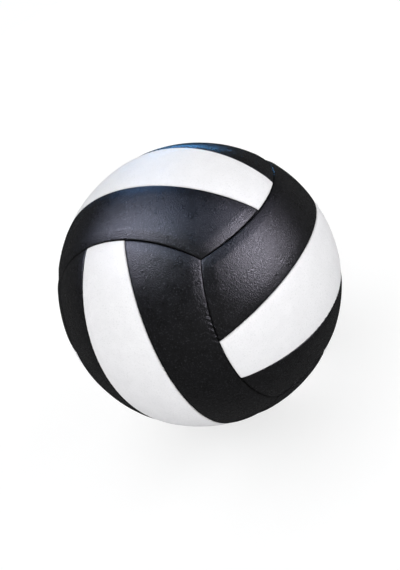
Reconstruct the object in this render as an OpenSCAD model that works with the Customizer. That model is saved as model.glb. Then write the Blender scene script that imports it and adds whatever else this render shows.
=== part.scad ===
// Machine-stitched volleyball of 18 panels.
// The ball's centre is the origin and +Z is up. Each of the six faces has three strips, and the face's
// strips end on the long side of the next face. Every seam lies in a plane, so it is an arc of a circle.

/* [Ball] */
// Diameter over the crowns of the panels
ball_d = 210; // [190:1:225]
// Width of a middle panel across the centre of its face
middle_w = 51; // [44:0.5:58]
// Width of a middle panel at its two ends
middle_end_w = 32; // [26:0.5:40]

/* [Cover panels] */
// Thickness of the grained skin
skin_t = 1.3; // [0.8:0.1:1.6]
// Gap between the turned-in margins of two panels
seam_gap = 0.3; // [0.2:0.1:0.6]
// Width over which a panel rolls down into its seam
shoulder_w = 5; // [3:0.5:8]
// Depth of that roll where the two panels meet
shoulder_h = 1.7; // [1.6:0.1:2.2]
// Depth of the turned-in margin's cut edge below the crown
margin_h = 4.6; // [4.2:0.1:6]
// Depth of the margin where its corners are clipped
corner_h = 2.9; // [2.6:0.1:3.1]

/* [Foam backings] */
// Thickness of the foam with its cloth
backing_t = 2.2; // [1.2:0.1:2.4]
// Layer of glue between two pieces that are stuck together
glue_t = 0.1; // [0.05:0.05:0.2]

/* [Seam thread] */
// Diameter of the sewing thread
thread_d = 0.8; // [0.5:0.1:0.9]
// Distance from the margin's cut edge to the middle of the thread
stitch_edge = 0.9; // [0.7:0.1:1]
// Clearance between the thread and the margin
thread_gap = 0.05; // [0.02:0.01:0.1]
// Distance from a seam's end to the end of its thread
thread_end = 4; // [3.5:0.5:8]

/* [Bladder] */
// Thickness of the rubber wall
bladder_t = 0.6; // [0.4:0.1:1]
// Clearance between the bladder and what lies over it
bladder_gap = 0.3; // [0.2:0.1:0.6]

/* [Valve] */
// Diameter of the opening in the valve panel
opening_d = 8.4; // [8.2:0.1:10]
// Diameter of the housing's neck, which stands in that opening
neck_d = 7.8; // [7.4:0.1:8]
// Distance of the neck's top below the crown
neck_drop = 1; // [0.9:0.1:1.2]
// Diameter of the flange that is bonded to the bladder
flange_d = 28; // [24:1:30]
// Thickness of the flange
flange_t = 1.1; // [0.8:0.1:1.2]
// Diameter of the barrel inside the bladder
barrel_d = 9; // [8.4:0.1:10]
// Length of the barrel below the bladder's surface
barrel_l = 14; // [13:1:20]
// Distance from the flange's edge in to the edge of the patch round the opening
patch_inset = 1; // [0.5:0.5:4]
// Thickness of the patch
patch_t = 0.5; // [0.3:0.1:0.7]
// Diameter of the bore that holds the core
core_bore_d = 5; // [4.6:0.1:5.4]
// Clearance of the core in its bore
core_gap = 0.05; // [0.03:0.01:0.1]
// Distance of the core's top below the neck's top
core_drop = 0.3; // [0.2:0.1:0.5]
// Diameter of the core's head
head_d = 6.4; // [6:0.1:6.6]
// Thickness of the core's head
head_t = 1.2; // [0.8:0.1:1.6]
// Diameter of the collar that locks the core
collar_d = 6.2; // [5.8:0.1:6.6]
// Thickness of that collar
collar_t = 1.5; // [1:0.1:2]
// Distance from the core's top to the collar
collar_drop = 11; // [9:0.5:12]
// Length of the core
core_l = 16; // [14:0.5:17]
// Diameter of the needle hole
needle_d = 2; // [1.6:0.1:2.4]
// Length of the needle hole below its lead-in
needle_l = 8; // [6:0.5:9]
// Depth of the lead-in's chamfer
lead_in = 0.6; // [0.4:0.1:0.8]

/* [Hidden] */
$fn = 96;
BLACK = [0.09, 0.09, 0.1];
WHITE = [0.93, 0.92, 0.93];
FOAM = [0.8, 0.78, 0.72];
THREAD = [0.75, 0.75, 0.72];
RUBBER = [0.16, 0.16, 0.17];
CORE = [0.55, 0.55, 0.55];
CLOTH = [0.7, 0.66, 0.58];
ball_r = ball_d / 2;
// A face's long side lies this far from the plane through its middle: the edge of an inscribed cube
side_offset = ball_r / sqrt(3);
end_latitude = asin(side_offset / ball_r);
// The strip seams' plane, which passes through the middle panel's two widths
middle_crown = sqrt(ball_r * ball_r - middle_w * middle_w / 4);
strip_tilt = atan((middle_w - middle_end_w) / 2 / (middle_crown - side_offset));
strip_offset = middle_end_w / 2 * cos(strip_tilt) - side_offset * sin(strip_tilt);
// A cut is [tilt, offset]: the plane y * cos(tilt) - z * sin(tilt) = offset in the face's own frame
SIDE_CUT = [0, side_offset];
STRIP_CUT = [strip_tilt, strip_offset];
EDGE_CUTS = [-SIDE_CUT, -STRIP_CUT, STRIP_CUT, SIDE_CUT];
spans_across = 2;
spans_along = 12;
ROLL_TURNS = [0, 45, 90];
skin_inner_r = ball_r - skin_t;
backing_r = skin_inner_r - glue_t;
backing_inner_r = backing_r - backing_t;
// The flat facets of a panel reach below its curve by up to this much
cell_w = (middle_w - 2 * shoulder_w) / spans_across;
cell_l = PI * ball_r / 90 * reach([0, 0], shoulder_w) / spans_along;
facet_sag = ball_r - sqrt(ball_r * ball_r - (cell_w * cell_w + cell_l * cell_l) / 4);
bladder_r = min(ball_r - margin_h - bladder_gap, backing_inner_r - facet_sag - bladder_gap);
flange_r0 = bladder_r + glue_t;
flange_r1 = flange_r0 + flange_t;
patch_r1 = skin_inner_r - facet_sag - glue_t;
patch_r0 = patch_r1 - patch_t;
patch_d = flange_d - 2 * patch_inset;
neck_top = ball_r - neck_drop;
barrel_bottom = bladder_r - barrel_l;
valve_gap = (opening_d - neck_d) / 2;
core_top = neck_top - core_drop;
core_bottom = core_top - core_l;
collar_top = core_top - collar_drop;
thread_r = ball_r - margin_h + stitch_edge;
thread_side = seam_gap / 2 + skin_t + thread_gap + thread_d / 2;
// [name, turns about the cube's diagonal, turned over, place of its low strip, place of its high strip]
FACES = [
    ["top", 0, false, "front", "back"],
    ["bottom", 0, true, "back", "front"],
    ["right", 1, false, "lower", "upper"],
    ["left", 1, true, "upper", "lower"],
    ["back", 2, false, "left", "right"],
    ["front", 2, true, "right", "left"]
];
VALVE_FACE = FACES[4];
function place_name(face, strip) = [face[3], "middle", face[4]][strip];
function cover_name(face, strip) = str("cover_", face[0], "_", place_name(face, strip));
function backing_name(face, strip) = str("backing_", face[0], "_", place_name(face, strip));
function thread_name(face) = str("thread_", face[0]);

// Angle at the ball's centre of a length along its surface
function arc_angle(length) = length / ball_r * 180 / PI;

// The cut that lies a length along the surface beyond another cut, towards +Y
function moved_cut(cut, length) = [cut[0], ball_r * sin(asin(cut[1] / ball_r) + arc_angle(length))];

// Angle along a cut from the face's middle to the circle that lies inset from the end seam
function reach(cut, inset) =
    let (end_z = ball_r * sin(end_latitude + arc_angle(inset)))
    let (cut_r = sqrt(ball_r * ball_r - cut[1] * cut[1]))
    acos((end_z + cut[1] * sin(cut[0])) / (cut_r * cos(cut[0])));

// Unit vector to the point of a cut that lies an angle along it
function cut_point(cut, along) =
    let (rise = cut[1] / ball_r)
    let (run = sqrt(1 - rise * rise))
    [
        run * sin(along),
        rise * cos(cut[0]) + run * cos(along) * sin(cut[0]),
        run * cos(along) * cos(cut[0]) - rise * sin(cut[0])
    ];

// Depth of a sheet where one edge's roll takes it to depth_a and the other's to depth_b
function joined_depth(flat, depth_a, depth_b) =
    let (at_corner = depth_a > flat && depth_b > flat)
    min(at_corner ? corner_h : margin_h, flat + norm([depth_a - flat, depth_b - flat]));

// A sheet's rings, from its edge inwards, each [inset from the seam, depth below the crown].
// The skin's outer side rolls down a quarter ellipse and then runs straight in as the margin.
function skin_rings(wall) =
    concat(
        [[seam_gap / 2 + wall, margin_h]],
        [
            for (turn = ROLL_TURNS)
            [
                seam_gap / 2 + shoulder_w - (shoulder_w - wall) * cos(turn),
                shoulder_h - (shoulder_h - wall) * sin(turn)
            ]
        ]
    );

// A flat-sided sheet has one ring, where the skin's roll ends
function plain_rings(depth) = [[seam_gap / 2 + shoulder_w, depth]];

// Lines across a sheet: each [cut, depth], from the low edge to the high edge
function lines_across(low_cut, high_cut, rings) =
    let (last = rings[len(rings) - 1])
    let (low = moved_cut(low_cut, last[0]), high = moved_cut(high_cut, -last[0]))
    concat(
        [for (ring = rings) [moved_cut(low_cut, ring[0]), ring[1]]],
        [for (i = [1:spans_across - 1]) [low + (high - low) * i / spans_across, last[1]]],
        [for (i = [len(rings) - 1:-1:0]) [moved_cut(high_cut, -rings[i][0]), rings[i][1]]]
    );

// Lines along a sheet: each [share of the reach, inset of that reach, depth]
function lines_along(rings) =
    let (last = rings[len(rings) - 1])
    concat(
        [for (ring = rings) [-1, ring[0], ring[1]]],
        [for (i = [1:spans_along - 1]) [2 * i / spans_along - 1, last[0], last[1]]],
        [for (i = [len(rings) - 1:-1:0]) [1, rings[i][0], rings[i][1]]]
    );

// All points of a sheet, line after line
function sheet_points(low_cut, high_cut, rings) =
    let (flat = rings[len(rings) - 1][1])
    [
        for (across = lines_across(low_cut, high_cut, rings))
        for (along = lines_along(rings))
        let (depth = joined_depth(flat, across[1], along[2]))
        (ball_r - depth) * cut_point(across[0], along[0] * reach(across[0], along[1]))
    ];

// Triangles of a closed shell whose outer sheet's points are followed by its inner sheet's points
function shell_faces(columns, rows) =
    let (inner = columns * rows, last_column = columns - 1, last_row = rows - 1)
    [
        for (row = [0:last_row - 1])
        for (column = [0:last_column - 1])
        let (a = row * columns + column, b = a + 1, d = a + columns, c = d + 1)
        each [[a, d, c], [a, c, b], [inner + a, inner + c, inner + d], [inner + a, inner + b, inner + c]],
        for (column = [0:last_column - 1])
        let (a = column, b = a + 1, d = last_row * columns + column, c = d + 1)
        each [[a, b, inner + b], [a, inner + b, inner + a], [c, d, inner + d], [c, inner + d, inner + c]],
        for (row = [0:last_row - 1])
        let (a = row * columns, d = a + columns, b = a + last_column, c = d + last_column)
        each [[d, a, inner + a], [d, inner + a, inner + d], [b, c, inner + c], [b, inner + c, inner + b]]
    ];

// Closed shell between two sheets over the same strip: 0 is the low one, 1 the middle, 2 the high one
module strip_shell(strip, outer_rings, inner_rings) {
    low_cut = EDGE_CUTS[strip];
    high_cut = EDGE_CUTS[strip + 1];
    outer = sheet_points(low_cut, high_cut, outer_rings);
    inner = sheet_points(low_cut, high_cut, inner_rings);
    columns = len(lines_along(outer_rings));
    rows = len(lines_across(low_cut, high_cut, outer_rings));
    polyhedron(points = concat(outer, inner), faces = shell_faces(columns, rows), convexity = 4);
}

// Moves a shape from a face's own frame, whose +Z points out of the ball, to that face
module on_face(face) {
    rotate(a = 120 * face[1], v = [1, 1, 1])
        rotate([face[2] ? 180 : 0, 0, 0])
            children();
}

// Round cut from the ball's centre out through its surface
module outward_hole(diameter) {
    cylinder(h = ball_d, d = diameter);
}

// One panel of skin with its edges turned in
module cover(face, strip) {
    color(strip == 1 ? WHITE : BLACK)
        on_face(face)
            difference() {
                strip_shell(strip, skin_rings(0), skin_rings(skin_t));
                if (face == VALVE_FACE && strip == 1) outward_hole(opening_d);
            }
}

// The foam and cloth behind one panel
module backing(face, strip) {
    color(FOAM)
        on_face(face)
            difference() {
                strip_shell(strip, plain_rings(ball_r - backing_r), plain_rings(ball_r - backing_inner_r));
                if (face == VALVE_FACE && strip == 1) outward_hole(flange_d + 2 * valve_gap);
            }
}

// One strand along a seam, on the side of the turned-in margins that side gives as -1 or 1
module strand(cut, side) {
    half_turn = reach(cut, 0) - arc_angle(thread_end);
    rotate([-90 - cut[0], 0, 0])
        rotate([0, 0, -90 - half_turn])
            rotate_extrude(angle = 2 * half_turn)
                rotate(asin(cut[1] / ball_r))
                    translate([thread_r, side * thread_side])
                        circle(d = thread_d);
}

// Needle strand and bobbin strand of the four seams that belong to a face
module thread(face) {
    color(THREAD)
        on_face(face)
            for (cut = EDGE_CUTS, side = [-1, 1])
                strand(cut, side);
}

// Rubber ball that holds the air
module bladder() {
    color(RUBBER)
        on_face(VALVE_FACE)
            difference() {
                sphere(bladder_r);
                sphere(bladder_r - bladder_t);
                outward_hole(barrel_d + 2 * valve_gap);
            }
}

// Half profile of a layer that follows the ball's curve, from its inner to its outer radius
module curved_layer(inner_r, outer_r, diameter) {
    intersection() {
        difference() {
            circle(outer_r);
            circle(inner_r);
        }
        square([diameter / 2, ball_r]);
    }
}

// Half profile of a plain round piece between two heights
module round_part(diameter, bottom, top) {
    translate([0, bottom])
        square([diameter / 2, top - bottom]);
}

// Neck, flange and barrel in one rubber piece, with the stepped bore for the core
module valve_housing() {
    color(RUBBER)
        on_face(VALVE_FACE)
            rotate_extrude()
                difference() {
                    union() {
                        round_part(neck_d, flange_r0, neck_top);
                        curved_layer(flange_r0, flange_r1, flange_d);
                        round_part(barrel_d, barrel_bottom, flange_r0 + flange_t / 2);
                    }
                    round_part(core_bore_d, barrel_bottom - valve_gap, ball_r);
                    round_part(head_d + 2 * core_gap, core_top - head_t - core_gap, ball_r);
                    round_part(
                        collar_d + 2 * core_gap,
                        collar_top - collar_t - core_gap,
                        collar_top + core_gap
                    );
                }
}

// Self-sealing plug: the needle pushes through the slit below its blind hole
module valve_core() {
    needle_r = needle_d / 2;
    needle_top = core_top - lead_in;
    color(CORE)
        on_face(VALVE_FACE)
            rotate_extrude()
                difference() {
                    union() {
                        round_part(core_bore_d - 2 * core_gap, core_bottom, core_top);
                        round_part(head_d, core_top - head_t, core_top);
                        round_part(collar_d, collar_top - collar_t, collar_top);
                    }
                    round_part(needle_d, needle_top - needle_l, ball_r);
                    polygon([
                        [0, needle_top],
                        [needle_r, needle_top],
                        [needle_r + lead_in, core_top],
                        [needle_r + lead_in, ball_r],
                        [0, ball_r]
                    ]);
                }
}

// Cloth ring that reinforces the skin round the valve opening
module valve_patch() {
    color(CLOTH)
        on_face(VALVE_FACE)
            rotate_extrude()
                difference() {
                    curved_layer(patch_r0, patch_r1, patch_d);
                    round_part(opening_d, 0, ball_r);
                }
}

for (face = FACES) {
    for (strip = [0:2]) {
        cover(face, strip);
        backing(face, strip);
    }
    thread(face);
}
bladder();
valve_housing();
valve_core();
valve_patch();
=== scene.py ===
"""Looks of a machine-stitched volleyball of 18 panels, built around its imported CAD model.

The lengths of the ball below are in millimetres and become metres when a mesh is made. A face's own
frame has x along its strips, y across them and z out of the ball.
"""

import math

import bmesh
import bpy
import numpy as np
from mathutils import Matrix, Vector


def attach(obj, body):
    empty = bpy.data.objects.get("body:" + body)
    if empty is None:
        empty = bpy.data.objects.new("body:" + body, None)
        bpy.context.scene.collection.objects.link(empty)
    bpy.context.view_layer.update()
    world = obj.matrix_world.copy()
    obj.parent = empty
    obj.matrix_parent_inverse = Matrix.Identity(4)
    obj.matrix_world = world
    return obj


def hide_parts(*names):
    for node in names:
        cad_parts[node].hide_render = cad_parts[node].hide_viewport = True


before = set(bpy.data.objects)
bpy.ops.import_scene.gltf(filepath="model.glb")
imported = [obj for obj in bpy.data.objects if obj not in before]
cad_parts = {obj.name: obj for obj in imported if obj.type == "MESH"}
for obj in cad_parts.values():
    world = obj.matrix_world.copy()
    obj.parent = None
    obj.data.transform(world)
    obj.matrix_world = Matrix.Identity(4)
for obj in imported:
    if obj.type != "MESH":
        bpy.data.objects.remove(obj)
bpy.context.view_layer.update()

MM = 0.001
TAU = 2 * math.pi

# Ball, seams and valve, as in the CAD model
BALL_R = 105.0
MIDDLE_W = 51.0
MIDDLE_END_W = 32.0
SEAM_GAP = 0.3
SKIN_T = 1.3
MARGIN_H = 4.6
CORNER_H = 2.9
CORNER_X = 5.15
GLUE_T = 0.1
BACKING_INNER_R = 101.4
BACKING_INSET = 5.15
OPENING_D = 8.4
FLANGE_HOLE_D = 28.6
THREAD_D = 0.8
THREAD_R = 101.3
THREAD_SIDE = 1.9
THREAD_END = 4.0

SIDE_OFFSET = BALL_R / math.sqrt(3)
END_LATITUDE = math.asin(SIDE_OFFSET / BALL_R)
MIDDLE_CROWN = math.sqrt(BALL_R**2 - MIDDLE_W**2 / 4)
STRIP_TILT = math.atan((MIDDLE_W - MIDDLE_END_W) / 2 / (MIDDLE_CROWN - SIDE_OFFSET))
STRIP_OFFSET = MIDDLE_END_W / 2 * math.cos(STRIP_TILT) - SIDE_OFFSET * math.sin(STRIP_TILT)
# Each seam's plane as its tilt and offset, from the low side to the high side of a face
EDGE_CUTS = np.array([
    [0, -SIDE_OFFSET],
    [-STRIP_TILT, -STRIP_OFFSET],
    [STRIP_TILT, STRIP_OFFSET],
    [0, SIDE_OFFSET],
])
# Name, turns about the cube's diagonal, turned over, places of the low and the high strip
FACES = [
    ("top", 0, False, "front", "back"),
    ("bottom", 0, True, "back", "front"),
    ("right", 1, False, "lower", "upper"),
    ("left", 1, True, "upper", "lower"),
    ("back", 2, False, "left", "right"),
    ("front", 2, True, "right", "left"),
]
MIDDLE_STRIP = 1
VALVE_FACE = "back"

# How a panel falls into its seam: a gentle slope where its foam thins out, then a tight roll. The slope
# keeps its pitch up to one distance from the edge and ends at the next. It is full along the sides of a
# face, weaker at the strips' ends and weakest between two strips
SLOPE = 0.17
SLOPE_FULL = 5.2
SLOPE_NONE = 8.2
SLOPE_SHARES = (1, 0.35, 0.35, 1)
END_SLOPE_SHARE = 0.75
ROLL_W = 1.2
ROLL_H = 0.5
# Small slanting folds that the stitches pull beside a seam: their pitch, their height along a strip's
# sides and at its ends, how far from the seam they are highest, how soon they fade and how they lean
FOLD = 4.4
PUCKER_SIDE_H = 0.17
PUCKER_END_H = 0.4
PUCKER_X = 1.2
PUCKER_W = 3.2
PUCKER_LEAN = 1.1
# They are strong in some places and absent in most, they wander, and each is a little different
PUCKER_L, PUCKER_SEED, PUCKER_MEAN, PUCKER_VARY = 50.0, 6057, 0.2, 0.6
WANDER_L, WANDER_SEED, WANDER_H = 18, 5, 1.2
UNEVEN_L, UNEVEN_SEED, UNEVEN_MEAN, UNEVEN_VARY = 8, 6, 0.8, 0.5
UNEVEN_LIMITS = (0.1, 1.4)
# Soft unevenness of the stretched skin
SWELL_L, SWELL_SEED, SWELL_H = 30.0, 7, 0.16
SWELL_MEAN, SWELL_VARY = 0.6, 0.4
# Waves that add up to such an unevenness, and how many of each, from and to, fit in its length
NOISE_WAVES = 9
NOISE_RANGE = (0.7, 1.3)
# Distances of a panel's outer lines from its edge, the lines on its margin, the size of the cells between
# the outer lines, and how many of these a cell of the inner side spans
EDGE_STEPS = np.array([
    0, 0.07, 0.2, 0.4, 0.66, 1.0, 1.4, 1.9, 2.5, 3.2, 3.95, 4.7, 5.45, 6.2, 7.0, 7.8, 8.6, 9.4, 10.2])
MARGIN_ROWS = 3
CELL = 0.82
COARSE = 3
# The valve's opening: half the square of cells that it takes out, its rounded edge and the points round
# it, and the rings from the square in to the circle
OPENING_CELLS = 9
OPENING_ROLL = 0.5
OPENING_BEVEL = 0.1
ROUND_TURNS = np.radians([22.5, 45, 67.5, 90])
RING_SHARES = np.linspace(0, 1, 7)[1:]
# A backing's cells, and half the square of them that the hole for the valve's flange takes out
FOAM_CELL = 2.0
FOAM_CELLS = 9
SHARP_ANGLE = math.radians(55)
# Thread: length and points of one stitch, how squarely it dives, its nearness to the seam there, its sides
STITCH = 3.2
THREAD_POINTS = 7
THREAD_ROUND = 1.5
THREAD_HOLE_SIDE = 0.45
THREAD_SIDES = 6

# Leather: its pebbles, then size, detail and roughness of the noises for the fine grain on them, for the
# specks that shine more and for the clouds of its sheen
PEBBLE_SIZE = 0.78
PEBBLE_SMOOTHNESS = 0.35
FINE_GRAIN = (0.45, 3, 0.7)
BEADS = (0.9, 1, 0.5)
CLOUDS = (9.0, 3, 0.6)
# The part of their noise where specks are, and how much more they shine
BEAD_RANGE = (0.58, 0.7)
BEAD_GLOSS = 2.0
# Shares of clouds and fine grain in the mottled colour, and the range of their sum that it spans
CLOUD_SHARE, GRAIN_SHARE = 0.7, 0.3
TONE_RANGE = (0.35, 0.65)
# The nearness to a seam over which the colour turns darker, to the one at the seam
SEAM_RANGE = (0.86, 1.0)
# Seen at a low angle the grain hides itself, which takes gloss away: a power of the cosine of that angle
LOW_ANGLE_POWER = 3.2
# Rubber: its spots as a multiple of its grain, the detail of both, how far its roughness varies, its gloss
RUBBER_SPOTS = 6
RUBBER_DETAIL = 3
RUBBER_UNEVEN = 0.06
RUBBER_SPECULAR = 0.4
# Cloth and thread: gloss, and how uneven the yarns are
CLOTH_ROUGH = 0.85
CLOTH_ROUGH_RANGE = (0.78, 0.92)
CLOTH_SPECULAR = 0.2
YARN_DISTORTION = 0.4

# The camera, found by fitting the photograph: where it stands seen from the ball, and its roll
AZIMUTH, ELEVATION, ROLL = math.radians(39.67), math.radians(28.61), math.radians(30.14)
DISTANCE = 4.2 * BALL_R * MM
FOCAL_PIXELS = 580.2
PHOTO_W, PHOTO_H = 400, 570
BALL_AT = (199.8, 284.55)
SENSOR = 36.0
CLIP_NEAR, CLIP_FAR = 0.01, 500
LEVEL_RIGHT = Vector((math.cos(AZIMUTH), math.sin(AZIMUTH), 0))
BACK = Vector((
    math.sin(AZIMUTH) * math.cos(ELEVATION), -math.cos(AZIMUTH) * math.cos(ELEVATION), math.sin(ELEVATION)))
LEVEL_UP = BACK.cross(LEVEL_RIGHT)
RIGHT = math.cos(ROLL) * LEVEL_RIGHT - math.sin(ROLL) * LEVEL_UP
UP = math.cos(ROLL) * LEVEL_UP + math.sin(ROLL) * LEVEL_RIGHT

# The floor, a disc of paper whose radius is in metres, its mottle and its glow to the camera
FLOOR_SIDES = 48
FLOOR_R = 150.0
FLOOR_DARK, FLOOR_LIGHT = (0.39, 0.39, 0.39), (0.41, 0.41, 0.41)
FLOOR_MOTTLE = (40, 2, 0.5)
FLOOR_ROUGH = 0.95
FLOOR_GLOW = 0.68
# Brightness of the walls and of the ceiling, and the heights, as sines, between which one becomes the other
WALL_LEVEL, CEILING_LEVEL = 1.02, 0.12
WALL_TOP = (math.sin(math.radians(10)), math.sin(math.radians(26)))
SKY_COLOUR = (0.98, 0.99, 1.0)

# Soft lamps far off: name, direction as right, up and back in the camera's first view, the brightness that
# it gives a white surface facing it, half its angle in degrees, and colour. The first four give no highlight
COLOUR_LAMPS = [
    ("key_left", (-0.66, 0.62, 0.42), 0.36, 35, (1, 1, 1)),
    ("key_right", (0.75, 0.42, 0.5), 0.43, 35, (1, 1, 1)),
    ("fill", (-0.10, -0.28, 0.95), 0.515, 20, (1, 1, 1)),
    ("back", (0.1, 0.78, -0.6), 0.24, 35, (1, 1, 1)),
]
# These give only highlights
GLOSS_LAMPS = [
    ("gloss_right", (0.74, 0.38, 0.555), 5.2, 13, (0.89, 0.85, 1.0)),
    ("gloss_right_high", (0.55, 0.75, 0.36), 1.5, 12, (0.85, 0.8, 1.0)),
    ("gloss_left", (-0.66, 0.44, 0.60), 0.95, 17, (0.82, 0.94, 1.0)),
    ("gloss_left_high", (-0.71, 0.65, 0.27), 1.65, 17, (0.83, 0.82, 1.0)),
    ("gloss_left_low", (-0.82, 0.38, 0.41), 1.8, 9, (0.84, 0.79, 1.0)),
    ("gloss_left_back", (-0.85, 0.5, 0.1), 2.3, 14, (0.69, 0.75, 1.0)),
    ("gloss_top", (-0.50, 0.74, 0.45), 1.5, 14, (0.5, 0.65, 1.0)),
    ("gloss_band", (0.31, 0.77, 0.56), 0.35, 14, (0.36, 0.62, 1.0)),
    ("gloss_edge", (-0.36, 0.80, -0.48), 1.4, 11, (0.25, 0.5, 1.0)),
    ("gloss_blue", (-0.12, 0.42, -0.90), 4.2, 15, (0.13, 0.46, 1.0)),
]


def smooth_noise(points, length, seed):
    """Smooth unevenness, about -1 to 1, at points in space, with bumps of about that length."""
    random = np.random.RandomState(seed)
    total = np.zeros(points.shape[:-1])
    for _ in range(NOISE_WAVES):
        way = random.normal(size=3)
        way *= TAU / length / np.linalg.norm(way) * random.uniform(*NOISE_RANGE)
        total += np.sin(points @ way + random.uniform(0, TAU))
    return total / math.sqrt(NOISE_WAVES)


def moved_cut(cut, length):
    """The cut that lies a length along the ball's surface beyond another."""
    return np.array([cut[0], BALL_R * math.sin(math.asin(cut[1] / BALL_R) + length / BALL_R)])


def reach(tilt, offset, inset):
    """Angle along a cut from the face's middle to the line that lies inset from the end seam."""
    end_z = BALL_R * np.sin(END_LATITUDE + inset / BALL_R)
    return np.arccos((end_z + offset * np.sin(tilt)) / (np.sqrt(BALL_R**2 - offset**2) * np.cos(tilt)))


def cut_point(tilt, offset, along):
    """Unit vector to the point of a cut at an angle along it."""
    rise = offset / BALL_R
    run = np.sqrt(1 - rise**2)
    return np.stack([
        run * np.sin(along),
        rise * np.cos(tilt) + run * np.cos(along) * np.sin(tilt),
        run * np.cos(along) * np.cos(tilt) - rise * np.sin(tilt),
    ], axis=-1)


def slope_depth(x):
    """Depth of a panel's slope at a distance from its edge."""
    width = SLOPE_NONE - SLOPE_FULL
    u = np.clip((x - SLOPE_FULL) / width, 0, 1)
    return SLOPE * (np.maximum(SLOPE_FULL - x, 0) + width * (0.5 - u + u**3 - u**4 / 2))


def roll_depth(x):
    """Depth of the tight roll at the panel's edge."""
    u = np.clip(1 - x / ROLL_W, 0, 1)
    return ROLL_H * (1 - np.sqrt(1 - u**2))


def with_margin(rings):
    """Rings with the straight lines of the turned-in margin put before them."""
    first, top, slope = rings[0]
    shares = [i / MARGIN_ROWS for i in range(MARGIN_ROWS, 0, -1)]
    return [(first, top + (MARGIN_H - top) * i, slope * (1 - i)) for i in shares] + rings


def skin_rings():
    """Lines of the skin's outer side from its margin's edge inwards: inset from the seam, depth, slope."""
    rings = [(SEAM_GAP / 2 + x, roll_depth(x), slope_depth(x)) for x in EDGE_STEPS]
    return with_margin(rings)


def lining_rings():
    """The same lines of the skin's inner side."""
    squeeze = 1 - SKIN_T / EDGE_STEPS[-1]
    rings = []
    for step in EDGE_STEPS:
        x = SKIN_T + step * squeeze
        rings.append((SEAM_GAP / 2 + x, SKIN_T + roll_depth(step), slope_depth(x)))
    return with_margin(rings)


def foam_rings(inner):
    """Lines of a backing's outer or inner side, which thins out under the skin's slope."""
    rings = []
    for step in EDGE_STEPS[::2]:
        x = BACKING_INSET + step / 2
        rings.append((x, BALL_R - BACKING_INNER_R, 0) if inner else (x, SKIN_T + GLUE_T, slope_depth(x)))
    return rings


def lines_over(rings, cells, low, high):
    """Inset and depth of every line from one edge to the other, each edge with its share of the slope."""
    lines = np.array(rings + [rings[-1]] * (cells - 1) + rings[::-1])
    share = np.where(np.arange(len(lines)) < len(lines) / 2, low, high)
    return np.stack([lines[:, 0], lines[:, 1] + share * lines[:, 2]], axis=1)


def cells_between(rings, length, cell):
    """An even number of cells between two opposite edges that lets the coarse side share their lines."""
    count = 2 * round((length - 2 * rings[-1][0]) / cell / 2)
    while (count + 2 * len(rings) - 2) % (2 * COARSE):
        count += 2
    return count


class Sheet:
    """A grid of points over one strip of a face, with each point's distance from the seams."""

    def __init__(self, strip, rings, rows, columns):
        low, high = EDGE_CUTS[strip], EDGE_CUTS[strip + 1]
        last, flat, _ = rings[-1]
        first_cut, last_cut = moved_cut(low, last), moved_cut(high, -last)
        cuts = [moved_cut(low, inset) for inset, _, _ in rings]
        cuts += [first_cut + (last_cut - first_cut) * i / rows for i in range(1, rows)]
        cuts += [moved_cut(high, -inset) for inset, _, _ in rings[::-1]]
        across = lines_over(rings, rows, SLOPE_SHARES[strip], SLOPE_SHARES[strip + 1])[:, None, :]
        along = lines_over(rings, columns, END_SLOPE_SHARE, END_SLOPE_SHARE)[None, :, :]
        share = np.concatenate([
            -np.ones(len(rings)), 2 * np.arange(1, columns) / columns - 1, np.ones(len(rings))])
        tilt, offset = np.array(cuts).T[:, :, None]
        angle = share * reach(tilt, offset, along[..., 0])
        self.unit = cut_point(tilt, offset, angle)
        self.depth = self.joined(across, along, flat)
        shape = self.depth.shape
        self.side_x = np.broadcast_to(across[..., 0], shape)
        self.end_x = np.broadcast_to(along[..., 0], shape)
        self.side_s = np.abs(angle) * np.sqrt(BALL_R**2 - offset**2)
        turn = np.arctan2(np.abs(self.unit[..., 1]), np.abs(self.unit[..., 0]))
        self.end_s = turn * BALL_R * math.cos(END_LATITUDE)

    @staticmethod
    def joined(across, along, flat):
        """Depth where a side's fall and an end's fall meet. The margins end short of a corner."""
        corner = (across[..., 0] < CORNER_X) & (along[..., 0] < CORNER_X)
        fall = np.hypot(across[..., 1] - flat, along[..., 1] - flat)
        return np.minimum(np.where(corner, CORNER_H, MARGIN_H), flat + fall)

    def points(self):
        return self.unit * (BALL_R - self.depth)[..., None]


def face_matrix(turns, turned_over):
    """Turns a face's own frame to where that face is on the ball."""
    about = Matrix.Rotation(turns * TAU / 3, 3, Vector((1, 1, 1)))
    over = Matrix.Rotation(math.pi if turned_over else 0, 3, "X")
    return np.array(about @ over)


def pucker(x, s, lean, height, points):
    """Height of the small folds beside a seam, at x from it and s along it."""
    fade = np.exp(-((x - PUCKER_X) / PUCKER_W) ** 2)
    wander = WANDER_H * smooth_noise(points, WANDER_L, WANDER_SEED)
    wave = np.cos(TAU * (s + lean * x + wander) / FOLD)
    strength = np.clip(PUCKER_MEAN + PUCKER_VARY * smooth_noise(points, PUCKER_L, PUCKER_SEED), 0, 1) ** 2
    uneven = UNEVEN_MEAN + UNEVEN_VARY * smooth_noise(points, UNEVEN_L, UNEVEN_SEED)
    return height * fade * strength * np.clip(uneven, *UNEVEN_LIMITS) * wave


def skin_relief(sheet, turn):
    """Height that a stretched skin's folds and unevenness add, never above the crown."""
    points = sheet.unit * BALL_R @ turn.T
    swell = SWELL_H * (SWELL_VARY * smooth_noise(points, SWELL_L, SWELL_SEED) - SWELL_MEAN)
    folds = pucker(sheet.side_x, sheet.side_s, -PUCKER_LEAN, PUCKER_SIDE_H, points)
    folds += pucker(sheet.end_x, sheet.end_s, PUCKER_LEAN, PUCKER_END_H, points)
    folds *= np.clip(1 - sheet.depth / MARGIN_H, 0, 1)
    near = np.minimum(sheet.side_x, sheet.end_x) / EDGE_STEPS[-1]
    return np.minimum(swell * np.clip(near, 0, 1) + folds, sheet.depth)


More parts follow.
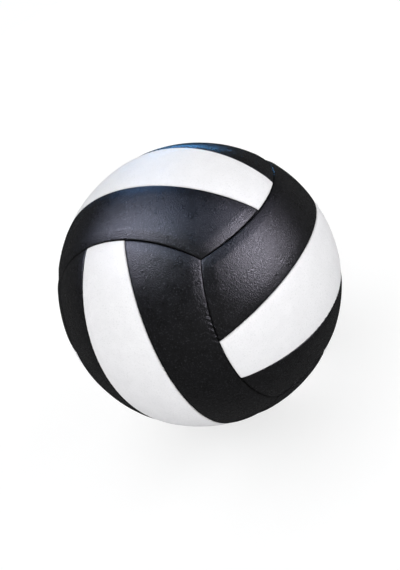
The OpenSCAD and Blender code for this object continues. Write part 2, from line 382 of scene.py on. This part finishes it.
class Mesh:
    """Collects vertices and faces, with one number per vertex for how near it is to a seam."""

    def __init__(self):
        self.points, self.faces, self.near, self.count = [], [], [], 0

    def add(self, points, near):
        """Adds a block of points and gives their numbers in the same shape."""
        shape = points.shape[:-1]
        total = int(np.prod(shape))
        self.points.append(points.reshape(-1, 3))
        self.near.append(np.broadcast_to(near, shape).ravel())
        self.count += total
        return np.arange(self.count - total, self.count).reshape(shape)

    def quads(self, ids, keep=None):
        """Quads over a grid of numbers, apart from cells where keep is false."""
        cells = np.stack([ids[:-1, :-1], ids[:-1, 1:], ids[1:, 1:], ids[1:, :-1]], axis=-1)
        self.faces += cells[keep].tolist() if keep is not None else cells.reshape(-1, 4).tolist()

    def ring(self, loop_a, loop_b):
        """Quads between two closed loops of as many points."""
        after_a, after_b = np.roll(loop_a, -1), np.roll(loop_b, -1)
        self.faces += np.stack([loop_a, after_a, after_b, loop_b], axis=-1).tolist()

    def coarsen(self, fine, coarse):
        """Faces between a fine closed loop and one with a third of its points."""
        after = np.roll(coarse, -1)
        f = [np.roll(fine, -i)[::COARSE] for i in range(COARSE + 1)]
        self.faces += np.stack([f[0], f[1], coarse], axis=-1).tolist()
        self.faces += np.stack([f[1], f[2], after, coarse], axis=-1).tolist()
        self.faces += np.stack([f[2], f[3], after], axis=-1).tolist()

    def build(self, name, turn):
        """The Blender object, turned to its face and in metres."""
        mesh = bpy.data.meshes.new(name)
        points = np.concatenate(self.points) @ turn.T * MM
        mesh.from_pydata(points.tolist(), [], self.faces)
        near = mesh.attributes.new("near_seam", "FLOAT", "POINT")
        near.data.foreach_set("value", np.concatenate(self.near).astype(np.float32))
        outward(mesh)
        piece = bpy.data.objects.new(name, mesh)
        bpy.context.scene.collection.objects.link(piece)
        return piece


def outward(mesh):
    """Smooth shading with all faces turned outward and only the cut edges sharp."""
    work = bmesh.new()
    work.from_mesh(mesh)
    spare = [vertex for vertex in work.verts if not vertex.link_faces]
    bmesh.ops.delete(work, geom=spare, context="VERTS")
    bmesh.ops.recalc_face_normals(work, faces=work.faces)
    work.to_mesh(mesh)
    work.free()
    mesh.shade_smooth()
    mesh.set_sharp_from_angle(angle=SHARP_ANGLE)
    mesh.update()


def border(ids):
    """The outermost numbers of a grid, once round."""
    return np.concatenate([ids[0, :-1], ids[:-1, -1], ids[-1, :0:-1], ids[:0:-1, 0]])


def block(ids, half):
    """The border of the square of cells in the middle of a grid, and the cells that lie outside it."""
    rows, columns = ids.shape
    mid_row, mid_column = rows // 2, columns // 2
    keep = np.ones((rows - 1, columns - 1), bool)
    keep[mid_row - half:mid_row + half, mid_column - half:mid_column + half] = False
    square = ids[mid_row - half:mid_row + half + 1, mid_column - half:mid_column + half + 1]
    return border(square), keep


def on_shell(flat_xy, depth):
    """Points at a depth below the crown over places near the face's middle."""
    z = np.sqrt((BALL_R - depth) ** 2 - (flat_xy**2).sum(-1))
    return np.concatenate([flat_xy, z[:, None]], axis=-1)


def circle_hole(mesh, loop, shares, radius, roll):
    """Rings from a square loop of points in to a round hole: gives the last one and each point's way out."""
    corners = np.concatenate(mesh.points)[loop]
    start, start_depth = corners[:, :2], BALL_R - np.linalg.norm(corners, axis=1)
    depth = start_depth.mean()
    way = start / np.linalg.norm(start, axis=1)[:, None]
    steps = [(start + (way * (radius + roll) - start) * share, start_depth + (depth - start_depth) * share)
             for share in shares]
    steps += [(way * (radius + roll - roll * math.sin(turn)), depth + roll * (1 - math.cos(turn)))
              for turn in (ROUND_TURNS if roll else [])]
    last = loop
    for place, below in steps:
        ids = mesh.add(on_shell(place, below), 0)
        mesh.ring(last, ids)
        last = ids
    return last, way


def shell(name, strip, outer_rings, inner_rings, cell, turn, relief, hole):
    """A closed shell over one strip, with a coarser inner side; hole is (radius, cells, roll) or None."""
    low, high = EDGE_CUTS[strip], EDGE_CUTS[strip + 1]
    width = BALL_R * (high[0] + math.asin(high[1] / BALL_R) - low[0] - math.asin(low[1] / BALL_R))
    middle = (low + high) / 2
    length = 2 * BALL_R * float(reach(middle[0], middle[1], 0))
    rows, columns = cells_between(outer_rings, width, cell), cells_between(outer_rings, length, cell)
    outer = Sheet(strip, outer_rings, rows, columns)
    inner = Sheet(strip, inner_rings, rows, columns)
    if relief:
        outer.depth = outer.depth - skin_relief(outer, turn)
    near = 1 - np.clip(np.minimum(outer.side_x, outer.end_x) / EDGE_STEPS[-1], 0, 1)
    mesh = Mesh()
    fine = mesh.add(outer.points(), near)
    coarse = mesh.add(inner.points()[::COARSE, ::COARSE], 0)
    mesh.coarsen(border(fine), border(coarse))
    if hole is None:
        mesh.quads(fine)
        mesh.quads(coarse)
        return mesh.build(name, turn)
    radius, cells, roll = hole
    fine_loop, fine_keep = block(fine, cells)
    coarse_loop, coarse_keep = block(coarse, cells // COARSE)
    mesh.quads(fine, fine_keep)
    mesh.quads(coarse, coarse_keep)
    fine_rim, way = circle_hole(mesh, fine_loop, RING_SHARES, radius, roll)
    wall = mesh.add(on_shell(way * radius, inner_rings[-1][1] - OPENING_BEVEL), 0)
    mesh.ring(fine_rim, wall)
    coarse_rim, _ = circle_hole(mesh, coarse_loop, RING_SHARES[-1:], radius + OPENING_BEVEL, 0)
    mesh.coarsen(wall, coarse_rim)
    return mesh.build(name, turn)


def stitch_path(cut, side):
    """Centre line of one thread of a seam: along the margin, and into it at every stitch hole."""
    half = float(reach(cut[0], cut[1], 0)) - THREAD_END / BALL_R
    cut_r = math.sqrt(BALL_R**2 - cut[1] ** 2)
    stitches = int(2 * half * cut_r / STITCH)
    along = np.linspace(-half, half, stitches * THREAD_POINTS + 1)
    share = np.arange(len(along)) % THREAD_POINTS / THREAD_POINTS
    out = np.clip(np.sin(math.pi * share) * THREAD_ROUND, 0, 1)
    aside = THREAD_HOLE_SIDE + (THREAD_SIDE - THREAD_HOLE_SIDE) * out
    offset = np.array([moved_cut(cut, side * step)[1] for step in aside])
    return cut_point(cut[0], offset, along) * THREAD_R


def add_tube(mesh, path, radius):
    """A round tube with closed ends along a path."""
    way = np.gradient(path, axis=0)
    way /= np.linalg.norm(way, axis=1)[:, None]
    out = path / np.linalg.norm(path, axis=1)[:, None]
    across = np.cross(way, out)
    across /= np.linalg.norm(across, axis=1)[:, None]
    up = np.cross(across, way)
    turns = np.arange(THREAD_SIDES) * TAU / THREAD_SIDES
    ring = np.cos(turns)[None, :, None] * across[:, None] + np.sin(turns)[None, :, None] * up[:, None]
    ids = mesh.add(path[:, None] + radius * ring, 0)
    mesh.quads(np.concatenate([ids, ids[:, :1]], axis=1))
    mesh.faces += [ids[0].tolist(), ids[-1].tolist()]


def thread_piece(name, turn):
    """Needle thread and bobbin thread of a face's four seams."""
    mesh = Mesh()
    for cut in EDGE_CUTS:
        for side in (-1, 1):
            add_tube(mesh, stitch_path(cut, side), THREAD_D / 2)
    return mesh.build(name, turn)


def new_material(name, roughness, specular):
    """A material with its node tree, its shader and the place on the piece."""
    material = bpy.data.materials.new(name)
    material.use_nodes = True
    tree = material.node_tree
    shader = tree.nodes["Principled BSDF"]
    shader.inputs["Roughness"].default_value = roughness
    shader.inputs["Specular IOR Level"].default_value = specular
    where = tree.nodes.new("ShaderNodeTexCoord")
    return material, tree, shader, where.outputs["Object"]


def noise(tree, where, size, detail, rough=0.5):
    """Noise with features of about that size in millimetres."""
    node = tree.nodes.new("ShaderNodeTexNoise")
    node.inputs["Scale"].default_value = 1 / (size * MM)
    node.inputs["Detail"].default_value = detail
    node.inputs["Roughness"].default_value = rough
    tree.links.new(where, node.inputs["Vector"])
    return node.outputs["Fac"]


def pebbles(tree, where, size):
    """Distance field of small leather cells of about that size in millimetres."""
    node = tree.nodes.new("ShaderNodeTexVoronoi")
    node.feature = "SMOOTH_F1"
    node.inputs["Scale"].default_value = 1 / (size * MM)
    node.inputs["Smoothness"].default_value = PEBBLE_SMOOTHNESS
    tree.links.new(where, node.inputs["Vector"])
    return node.outputs["Distance"]


def math_node(tree, operation, a, b):
    """One step of arithmetic on two values, each a number or a socket."""
    node = tree.nodes.new("ShaderNodeMath")
    node.operation = operation
    for socket, value in zip(node.inputs, (a, b)):
        if isinstance(value, (int, float)):
            socket.default_value = value
        else:
            tree.links.new(value, socket)
    return node.outputs[0]


def spread(tree, value, low, high, from_low=0.3, from_high=0.7):
    """Maps a texture's usual range to low..high."""
    node = tree.nodes.new("ShaderNodeMapRange")
    node.inputs["From Min"].default_value = from_low
    node.inputs["From Max"].default_value = from_high
    node.inputs["To Min"].default_value = low
    node.inputs["To Max"].default_value = high
    tree.links.new(value, node.inputs["Value"])
    return node.outputs["Result"]


def blend_colour(tree, factor, first, second):
    """Mix of two colours, each a tuple or a socket."""
    node = tree.nodes.new("ShaderNodeMix")
    node.data_type = "RGBA"
    tree.links.new(factor, node.inputs[0])
    for socket, value in zip((node.inputs[6], node.inputs[7]), (first, second)):
        if isinstance(value, tuple):
            socket.default_value = (*value, 1)
        else:
            tree.links.new(value, socket)
    return node.outputs[2]


def bump(tree, height, depth, normal=None):
    """Relief of that depth in millimetres, on top of another where one is given."""
    node = tree.nodes.new("ShaderNodeBump")
    node.inputs["Strength"].default_value = 1
    node.inputs["Distance"].default_value = depth * MM
    tree.links.new(height, node.inputs["Height"])
    if normal is not None:
        tree.links.new(normal, node.inputs["Normal"])
    return node.outputs["Normal"]


def leather_colour(tree, fine, cloud, beads, dark, light, speck_and_glint, seam):
    """Mottled from dark to light, with specks of one colour, which on black leather are lighter and paint a
    glint, and darker towards a seam.
    """
    tone = math_node(tree, "ADD", math_node(tree, "MULTIPLY", cloud, CLOUD_SHARE),
                     math_node(tree, "MULTIPLY", fine, GRAIN_SHARE))
    colour = blend_colour(tree, spread(tree, tone, 0, 1, *TONE_RANGE), dark, light)
    near = tree.nodes.new("ShaderNodeAttribute")
    near.attribute_name = "near_seam"
    # Specks: on black leather lighter, a painted glint; on white leather darker
    colour = blend_colour(tree, beads, colour, speck_and_glint)
    # Darker towards the seam, over the roll into its groove
    return blend_colour(tree, spread(tree, near.outputs["Fac"], 0, 1, *SEAM_RANGE), colour, seam)


def leather_gloss(tree, beads, specular):
    """Specular level that falls towards low angles and is higher on the specks."""
    facing = tree.nodes.new("ShaderNodeLayerWeight").outputs["Facing"]
    cosine = math_node(tree, "SUBTRACT", 1.0, facing)
    fall = math_node(tree, "POWER", cosine, LOW_ANGLE_POWER)
    return math_node(tree, "MULTIPLY", fall, spread(tree, beads, specular, specular * BEAD_GLOSS, 0, 1))


def leather(name, dark, light, speck_and_glint, seam, rough, specular, pebble_depth, fine_depth):
    """Grained synthetic leather. rough is the range of its roughness."""
    material, tree, shader, where = new_material(name, rough[0], specular)
    cells = pebbles(tree, where, PEBBLE_SIZE)
    fine = noise(tree, where, *FINE_GRAIN)
    beads = spread(tree, noise(tree, where, *BEADS), 0, 1, *BEAD_RANGE)
    cloud = noise(tree, where, *CLOUDS)
    colour = leather_colour(tree, fine, cloud, beads, dark, light, speck_and_glint, seam)
    tree.links.new(colour, shader.inputs["Base Color"])
    tree.links.new(spread(tree, cloud, *rough), shader.inputs["Roughness"])
    tree.links.new(leather_gloss(tree, beads, specular), shader.inputs["Specular IOR Level"])
    normal = bump(tree, fine, fine_depth, bump(tree, cells, pebble_depth))
    tree.links.new(normal, shader.inputs["Normal"])
    return material


def rubber(name, first, second, rough, size, depth):
    """Moulded rubber: a mottled colour with a fine relief."""
    material, tree, shader, where = new_material(name, rough, RUBBER_SPECULAR)
    spots = noise(tree, where, size * RUBBER_SPOTS, RUBBER_DETAIL)
    fine = noise(tree, where, size, RUBBER_DETAIL)
    tree.links.new(blend_colour(tree, spread(tree, spots, 0, 1), first, second), shader.inputs["Base Color"])
    uneven = spread(tree, spots, rough - RUBBER_UNEVEN, rough + RUBBER_UNEVEN)
    tree.links.new(uneven, shader.inputs["Roughness"])
    tree.links.new(bump(tree, fine, depth), shader.inputs["Normal"])
    return material


def woven(name, first, second, pitch, depth):
    """Cloth or twisted thread: two crossed sets of yarns of that pitch in millimetres."""
    material, tree, shader, where = new_material(name, CLOTH_ROUGH, CLOTH_SPECULAR)
    yarns = []
    for direction in ("X", "Z"):
        wave = tree.nodes.new("ShaderNodeTexWave")
        wave.wave_type, wave.bands_direction = "BANDS", direction
        wave.inputs["Scale"].default_value = 1 / (pitch * MM) / TAU
        wave.inputs["Distortion"].default_value = YARN_DISTORTION
        tree.links.new(where, wave.inputs["Vector"])
        yarns.append(wave.outputs["Fac"])
    weave = math_node(tree, "MULTIPLY", *yarns)
    tree.links.new(blend_colour(tree, weave, first, second), shader.inputs["Base Color"])
    tree.links.new(spread(tree, weave, *CLOTH_ROUGH_RANGE, 0, 1), shader.inputs["Roughness"])
    tree.links.new(bump(tree, weave, depth), shader.inputs["Normal"])
    return material


# The black leather's lighter speck colour is a painted glint
BLACK = leather(
    "black_leather", dark=(0.002, 0.002, 0.0023), light=(0.0038, 0.0038, 0.0045), speck_and_glint=(0.01, 0.01, 0.012),
    seam=(0.0015, 0.0015, 0.0015), rough=(0.25, 0.33), specular=0.12, pebble_depth=0.14, fine_depth=0.11)
WHITE = leather(
    "white_leather", dark=(0.83, 0.825, 0.84), light=(0.87, 0.865, 0.88), speck_and_glint=(0.78, 0.78, 0.79),
    seam=(0.7, 0.69, 0.69), rough=(0.42, 0.5), specular=0.1, pebble_depth=0.1, fine_depth=0.06)
FOAM = woven("foam_backing", (0.55, 0.52, 0.45), (0.72, 0.69, 0.6), pitch=0.9, depth=0.1)
THREAD = woven("seam_thread", (0.07, 0.07, 0.07), (0.13, 0.13, 0.13), pitch=0.35, depth=0.06)
BLADDER = rubber(
    "bladder_rubber", (0.016, 0.016, 0.018), (0.03, 0.03, 0.033), rough=0.6, size=0.5, depth=0.04)
VALVE = rubber(
    "valve_rubber", (0.012, 0.012, 0.013), (0.022, 0.022, 0.024), rough=0.5, size=0.3, depth=0.015)
CORE = rubber("core_rubber", (0.22, 0.22, 0.22), (0.3, 0.3, 0.3), rough=0.5, size=0.3, depth=0.015)
PATCH = woven("patch_cloth", (0.4, 0.36, 0.29), (0.6, 0.56, 0.48), pitch=0.6, depth=0.08)


def settle(piece, material, node):
    """Gives a finished piece its material and body, and hides the CAD node that it stands for."""
    piece.data.materials.append(material)
    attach(piece, "root")
    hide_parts(node)


def dress_face(face, turns, turned_over, low_place, high_place):
    """Panels, backings and seam thread of one face."""
    turn = face_matrix(turns, turned_over)
    for strip, place in enumerate((low_place, "middle", high_place)):
        spot = f"{face}_{place}"
        white = strip == MIDDLE_STRIP
        valve = face == VALVE_FACE and white
        opening = (OPENING_D / 2, OPENING_CELLS, OPENING_ROLL) if valve else None
        panel = shell(
            f"panel_{spot}", strip, skin_rings(), lining_rings(), CELL, turn, True, opening)
        settle(panel, WHITE if white else BLACK, f"cover_{spot}")
        round_hole = (FLANGE_HOLE_D / 2, FOAM_CELLS, 0) if valve else None
        foam = shell(
            f"foam_{spot}", strip, foam_rings(False), foam_rings(True), FOAM_CELL, turn, False, round_hole)
        settle(foam, FOAM, f"backing_{spot}")
    stitches = thread_piece(f"stitches_{face}", turn)
    settle(stitches, THREAD, f"thread_{face}")


def add_camera():
    """The camera, with its sensor shifted so that the ball lies where it does in the photograph."""
    data = bpy.data.cameras.new("camera")
    data.sensor_fit = "VERTICAL"
    data.sensor_height = SENSOR
    data.lens = FOCAL_PIXELS * SENSOR / PHOTO_H
    data.shift_x = (PHOTO_W / 2 - BALL_AT[0]) / PHOTO_H
    data.shift_y = (BALL_AT[1] - PHOTO_H / 2) / PHOTO_H
    data.clip_start, data.clip_end = CLIP_NEAR, CLIP_FAR
    camera = bpy.data.objects.new("camera", data)
    place = BACK * DISTANCE
    rows = [(RIGHT[i], UP[i], BACK[i], place[i]) for i in range(3)]
    camera.matrix_world = Matrix((*rows, (0, 0, 0, 1)))
    bpy.context.scene.collection.objects.link(camera)
    bpy.context.scene.camera = camera


def add_sun(name, way, level, half_angle, colour, diffuse, gloss):
    """A lamp of one of the tables above, with or without its diffuse light and its highlight."""
    data = bpy.data.lights.new(name, "SUN")
    data.energy = level * math.pi
    data.angle = math.radians(2 * half_angle)
    data.color = colour
    lamp = bpy.data.objects.new(name, data)
    toward = (way[0] * RIGHT + way[1] * UP + way[2] * BACK).normalized()
    lamp.rotation_mode = "QUATERNION"
    lamp.rotation_quaternion = toward.to_track_quat("Z", "Y")
    lamp.visible_diffuse, lamp.visible_glossy = diffuse, gloss
    bpy.context.scene.collection.objects.link(lamp)


def floor_paper():
    """White paper that shows brighter than it lights the ball, so that the shadow on it stays light."""
    material, tree, shader, where = new_material("floor_paper", FLOOR_ROUGH, 0)
    colour = blend_colour(tree, noise(tree, where, *FLOOR_MOTTLE), FLOOR_DARK, FLOOR_LIGHT)
    tree.links.new(colour, shader.inputs["Base Color"])
    path = tree.nodes.new("ShaderNodeLightPath")
    seen = math_node(tree, "MAXIMUM", path.outputs["Is Camera Ray"], path.outputs["Is Glossy Ray"])
    seen = math_node(tree, "MAXIMUM", seen, path.outputs["Is Transmission Ray"])
    shader.inputs["Emission Color"].default_value = (1, 1, 1, 1)
    tree.links.new(math_node(tree, "MULTIPLY", seen, FLOOR_GLOW), shader.inputs["Emission Strength"])
    return material


def add_floor():
    """The disc that the ball rests on."""
    mesh = bpy.data.meshes.new("floor")
    turns = np.arange(FLOOR_SIDES) * TAU / FLOOR_SIDES
    rim = np.stack([np.cos(turns), np.sin(turns), np.zeros(FLOOR_SIDES)], axis=1)
    points = rim * FLOOR_R + [0, 0, -BALL_R * MM]
    mesh.from_pydata(points.tolist(), [], [list(range(FLOOR_SIDES))])
    mesh.materials.append(floor_paper())
    floor = bpy.data.objects.new("floor", mesh)
    bpy.context.scene.collection.objects.link(floor)


def add_world():
    """A studio whose walls are white above the floor and whose ceiling is dark."""
    world = bpy.data.worlds.new("studio")
    world.use_nodes = True
    tree = world.node_tree
    sky = tree.nodes["Background"]
    where = tree.nodes.new("ShaderNodeTexCoord")
    split = tree.nodes.new("ShaderNodeSeparateXYZ")
    tree.links.new(where.outputs["Generated"], split.inputs["Vector"])
    level = spread(tree, split.outputs["Z"], WALL_LEVEL, CEILING_LEVEL, *WALL_TOP)
    level.node.interpolation_type = "SMOOTHSTEP"
    tree.links.new(level, sky.inputs["Strength"])
    sky.inputs["Color"].default_value = (*SKY_COLOUR, 1)
    bpy.context.scene.world = world


for face_row in FACES:
    dress_face(*face_row)

# Pieces of the CAD model that are shown as they are, with a finished material
for node, material in {
    "bladder": BLADDER, "valve_housing": VALVE, "valve_core": CORE, "valve_patch": PATCH,
}.items():
    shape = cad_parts[node].data
    shape.materials.clear()
    shape.materials.append(material)

add_camera()
add_floor()
add_world()
for lamp_row in COLOUR_LAMPS:
    add_sun(*lamp_row, diffuse=True, gloss=False)
for lamp_row in GLOSS_LAMPS:
    add_sun(*lamp_row, diffuse=False, gloss=True)

bpy.context.scene.view_settings.view_transform = "Standard"
